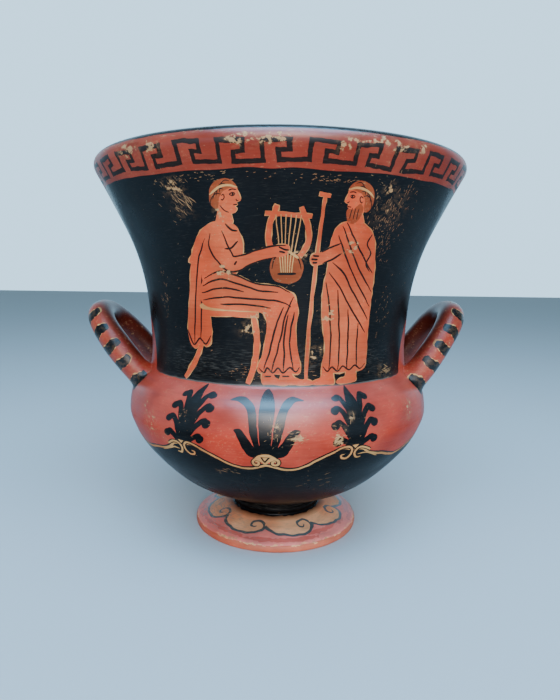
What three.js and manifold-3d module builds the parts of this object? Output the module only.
// A Greek calyx krater: a wide mixing bowl of painted, fired clay that flares to its rim and stands on a disc foot.
// Millimetres, +Z up. The origin lies on the surface that the krater stands on, under the vessel's own axis.
// The two handles lie along X, and the painted scene faces -Y.
//
// The potter throws the foot, the bowl and the flaring body on the wheel, joins them with slip, and presses on two
// bent rolls of clay as handles. It is then fired whole, so the krater is one hollow piece of clay, open at the top.

import * as THREE from "three";
import { mergeVertices } from "three/addons/utils/BufferGeometryUtils.js";
import Module from "manifold-3d";

// Driving dimensions.
const HEIGHT = 360;
const RIM_RADIUS = 175;
const NECK_RADIUS = 126.5; // the narrowest part of the flaring body
const BOWL_RADIUS = 148.5; // the widest part of the bowl, below the handles
const RING_RADIUS = 45; // the moulded ring between the bowl and the foot
const FOOT_RADIUS = 84;

// Heights of the joins, from the standing surface.
const FOOT_EDGE_TOP = 7.5;
const FOOT_TOP = 19.5; // where the sloping foot meets the moulded ring
const RING_TOP = 29;
const BOWL_WIDEST = 132;
const SHOULDER = 167; // where the bowl meets the flaring body

// The clay's thickness.
const NECK_WALL = 8;
const BOWL_WALL = 9;
const FLOOR = 14;
const LIP_RADIUS = 4; // half the thickness of the rounded lip

// The turned hollow under the foot, which leaves a ring to stand on.
const STANDING_RING_WIDTH = 15;
const UNDERSIDE_DEPTH = 4;

// The handles: bent rolls of clay, leaning outwards. No two of a potter's handles lean quite alike.
const HANDLE_RADIUS = 12.5;
const HANDLE_HALF_SPACING = 43; // from the loop's middle to the middle of each leg
const HANDLE_ROOT_X = 131;
const HANDLE_ROOT_Z = 160;
const HANDLE_RISE = 73; // along the leaning loop, from the roots to the middle of its top
const HANDLE_SQUARENESS = 2.4; // 2 would be a half ellipse, and more is squarer
const HANDLE_ROOT_DEPTH = 26; // how far each leg runs on into the bowl's wall
const HANDLE_FLARE = 0.2; // how much thicker a leg is where it is smoothed onto the bowl
const HANDLE_FLARE_LENGTH = 13;
const LEFT_LEAN = THREE.MathUtils.degToRad(40);
const RIGHT_LEAN = THREE.MathUtils.degToRad(35);

// How finely round shapes are divided.
const TURNS = 60;
const HANDLE_SIDES = 14;
const HANDLE_STEPS = 30;

const clay = new THREE.MeshStandardMaterial({ color: 0xa8503a, roughness: 0.45, metalness: 0 });

const wasm = await Module();
wasm.setup();

const at = (radius, height) => new THREE.Vector2(radius, height);

// Points along a list of [curve, divisions], each curve starting where the one before it ends.
function trace(pieces) {
  const points = pieces.flatMap(([curve, divisions]) => curve.getPoints(divisions).slice(1));
  return [pieces[0][0].getPoint(0), ...points];
}

function line(...points) {
  return points.slice(1).map((point, i) => [new THREE.LineCurve(points[i], point), 1]);
}

function arc(centre, radius, fromDegrees, toDegrees) {
  const [from, to] = [fromDegrees, toDegrees].map(THREE.MathUtils.degToRad);
  return new THREE.EllipseCurve(centre.x, centre.y, radius, radius, from, to, from > to);
}

// A closed geometry as a solid.
function solid(geometry) {
  const bare = geometry.clone();
  bare.deleteAttribute("normal");
  bare.deleteAttribute("uv");
  const merged = mergeVertices(bare, 1e-3);
  return new wasm.Manifold(
    new wasm.Mesh({
      numProp: 3,
      vertProperties: merged.attributes.position.array,
      triVerts: new Uint32Array(merged.index.array),
    }),
  );
}

// A profile of radius and height, turned about +Z.
function turned(points) {
  return solid(new THREE.LatheGeometry(points, TURNS).rotateX(Math.PI / 2));
}

// The outer form, from the middle of the underside up to the lip and closed across the mouth.
function outerProfile() {
  const ringHeight = RING_TOP - FOOT_TOP;
  const ringMiddle = at(RING_RADIUS - ringHeight / 2, FOOT_TOP + ringHeight / 2);
  const lipMiddle = at(RIM_RADIUS - LIP_RADIUS, HEIGHT - LIP_RADIUS);
  const recess = FOOT_RADIUS - STANDING_RING_WIDTH;
  const foot = line(
    at(0, UNDERSIDE_DEPTH),
    at(recess - UNDERSIDE_DEPTH, UNDERSIDE_DEPTH),
    at(recess, 0),
    at(FOOT_RADIUS - 1, 0),
    at(FOOT_RADIUS, 1),
    at(FOOT_RADIUS, FOOT_EDGE_TOP - 2),
    at(FOOT_RADIUS - 2.5, FOOT_EDGE_TOP + 0.5),
    at(FOOT_RADIUS - 19, FOOT_EDGE_TOP + 6),
    at(RING_RADIUS - 1.5, FOOT_TOP),
  );
  const ring = [
    ...line(at(RING_RADIUS - 1.5, FOOT_TOP), arc(ringMiddle, ringHeight / 2, -50, 50).getPoint(0)),
    [arc(ringMiddle, ringHeight / 2, -50, 50), 4],
    ...line(arc(ringMiddle, ringHeight / 2, -50, 50).getPoint(1), at(RING_RADIUS - 3, RING_TOP)),
  ];
  const bowl = new THREE.SplineCurve([
    at(RING_RADIUS - 3, RING_TOP),
    at(RING_RADIUS + 25, 42),
    at(102, 60),
    at(133, 92),
    at(BOWL_RADIUS - 2, BOWL_WIDEST - 15),
    at(BOWL_RADIUS, BOWL_WIDEST),
    at(BOWL_RADIUS - 5, SHOULDER - 15),
    at(NECK_RADIUS + 1.5, SHOULDER),
  ]);
  const body = new THREE.SplineCurve([
    at(NECK_RADIUS + 1.5, SHOULDER),
    at(NECK_RADIUS, SHOULDER + 25),
    at(NECK_RADIUS + 4, 240),
    at(NECK_RADIUS + 14.5, 280),
    at(NECK_RADIUS + 33.5, 320),
    at(RIM_RADIUS - 0.5, HEIGHT - LIP_RADIUS - 1),
  ]);
  const lip = [
    ...line(at(RIM_RADIUS - 0.5, HEIGHT - LIP_RADIUS - 1), at(RIM_RADIUS, HEIGHT - LIP_RADIUS)),
    [arc(lipMiddle, LIP_RADIUS, 0, 90), 3],
  ];
  return trace([...foot, ...ring, [bowl, 13], [body, 12], ...lip, ...line(at(lipMiddle.x, HEIGHT), at(0, HEIGHT))]);
}

// The hollow inside, from the middle of its floor up past the mouth.
function hollowProfile() {
  const lipMiddle = at(RIM_RADIUS - LIP_RADIUS, HEIGHT - LIP_RADIUS);
  const floorHeight = RING_TOP + FLOOR;
  const wall = new THREE.SplineCurve([
    at(0, floorHeight),
    at(52, floorHeight + 5),
    at(96, 67.5),
    at(BOWL_RADIUS - BOWL_WALL - 14, 97),
    at(BOWL_RADIUS - BOWL_WALL, BOWL_WIDEST - 4),
    at(BOWL_RADIUS - BOWL_WALL - 4, SHOULDER - 19),
    at(NECK_RADIUS + 1 - NECK_WALL, SHOULDER + 6),
    at(NECK_RADIUS - NECK_WALL, SHOULDER + 31),
    at(NECK_RADIUS + 4 - NECK_WALL, 243),
    at(NECK_RADIUS + 14.5 - NECK_WALL, 284),
    at(NECK_RADIUS + 33.5 - NECK_WALL, 324),
    at(lipMiddle.x - LIP_RADIUS, lipMiddle.y),
  ]);
  const above = HEIGHT + LIP_RADIUS;
  const lip = arc(lipMiddle, LIP_RADIUS, 180, 90);
  return trace([
    [wall, 18],
    [lip, 3],
    ...line(at(lipMiddle.x, HEIGHT), at(lipMiddle.x, above), at(0, above)),
  ]);
}

// One handle: a rod bent along a leaning loop, thicker at its two roots. side is -1 for the left and 1 for the right.
function handle(side, lean) {
  const upwards = new THREE.Vector3(side * Math.sin(lean), 0, Math.cos(lean));
  const across = new THREE.Vector3(0, 1, 0);
  const through = upwards.clone().cross(across);
  const root = new THREE.Vector3(side * HANDLE_ROOT_X, 0, HANDLE_ROOT_Z);
  const place = (along, up) => root.clone().addScaledVector(across, along).addScaledVector(upwards, up);
  const round = (share) => Math.sign(share) * Math.abs(share) ** (2 / HANDLE_SQUARENESS);
  const loopAt = (degrees) => {
    const turn = THREE.MathUtils.degToRad(degrees);
    return place(-HANDLE_HALF_SPACING * round(Math.cos(turn)), HANDLE_RISE * round(Math.sin(turn)));
  };
  const loop = new THREE.CatmullRomCurve3([
    place(-HANDLE_HALF_SPACING, -HANDLE_ROOT_DEPTH),
    ...[0, 15, 35, 60, 90, 120, 145, 165, 180].map(loopAt),
    place(HANDLE_HALF_SPACING, -HANDLE_ROOT_DEPTH),
  ]);

  const rod = new THREE.CylinderGeometry(1, 1, 1, HANDLE_SIDES, HANDLE_STEPS);
  const position = rod.attributes.position;
  for (let i = 0; i < position.count; i++) {
    const share = position.getY(i) + 0.5;
    const point = loop.getPointAt(share);
    const outwards = loop.getTangentAt(share).cross(through);
    const height = Math.max(0, point.clone().sub(root).dot(upwards));
    const radius = HANDLE_RADIUS * (1 + HANDLE_FLARE * Math.exp(-((height / HANDLE_FLARE_LENGTH) ** 2)));
    point.addScaledVector(outwards, radius * position.getX(i));
    point.addScaledVector(through, radius * position.getZ(i));
    position.setXYZ(i, ...point.toArray());
  }
  return solid(rod);
}

// The krater: the turned form and its handles, with the hollow cut out of both.
function krater() {
  const made = turned(outerProfile())
    .add(handle(-1, LEFT_LEAN))
    .add(handle(1, RIGHT_LEAN))
    .subtract(turned(hollowProfile()))
    .getMesh();
  const geometry = new THREE.BufferGeometry();
  geometry.setAttribute("position", new THREE.BufferAttribute(made.vertProperties, made.numProp));
  geometry.setIndex(new THREE.BufferAttribute(made.triVerts, 1));
  geometry.computeVertexNormals();
  const mesh = new THREE.Mesh(geometry, clay);
  mesh.name = "krater";
  return mesh;
}

const part = new THREE.Group();
part.add(krater());

export default part;
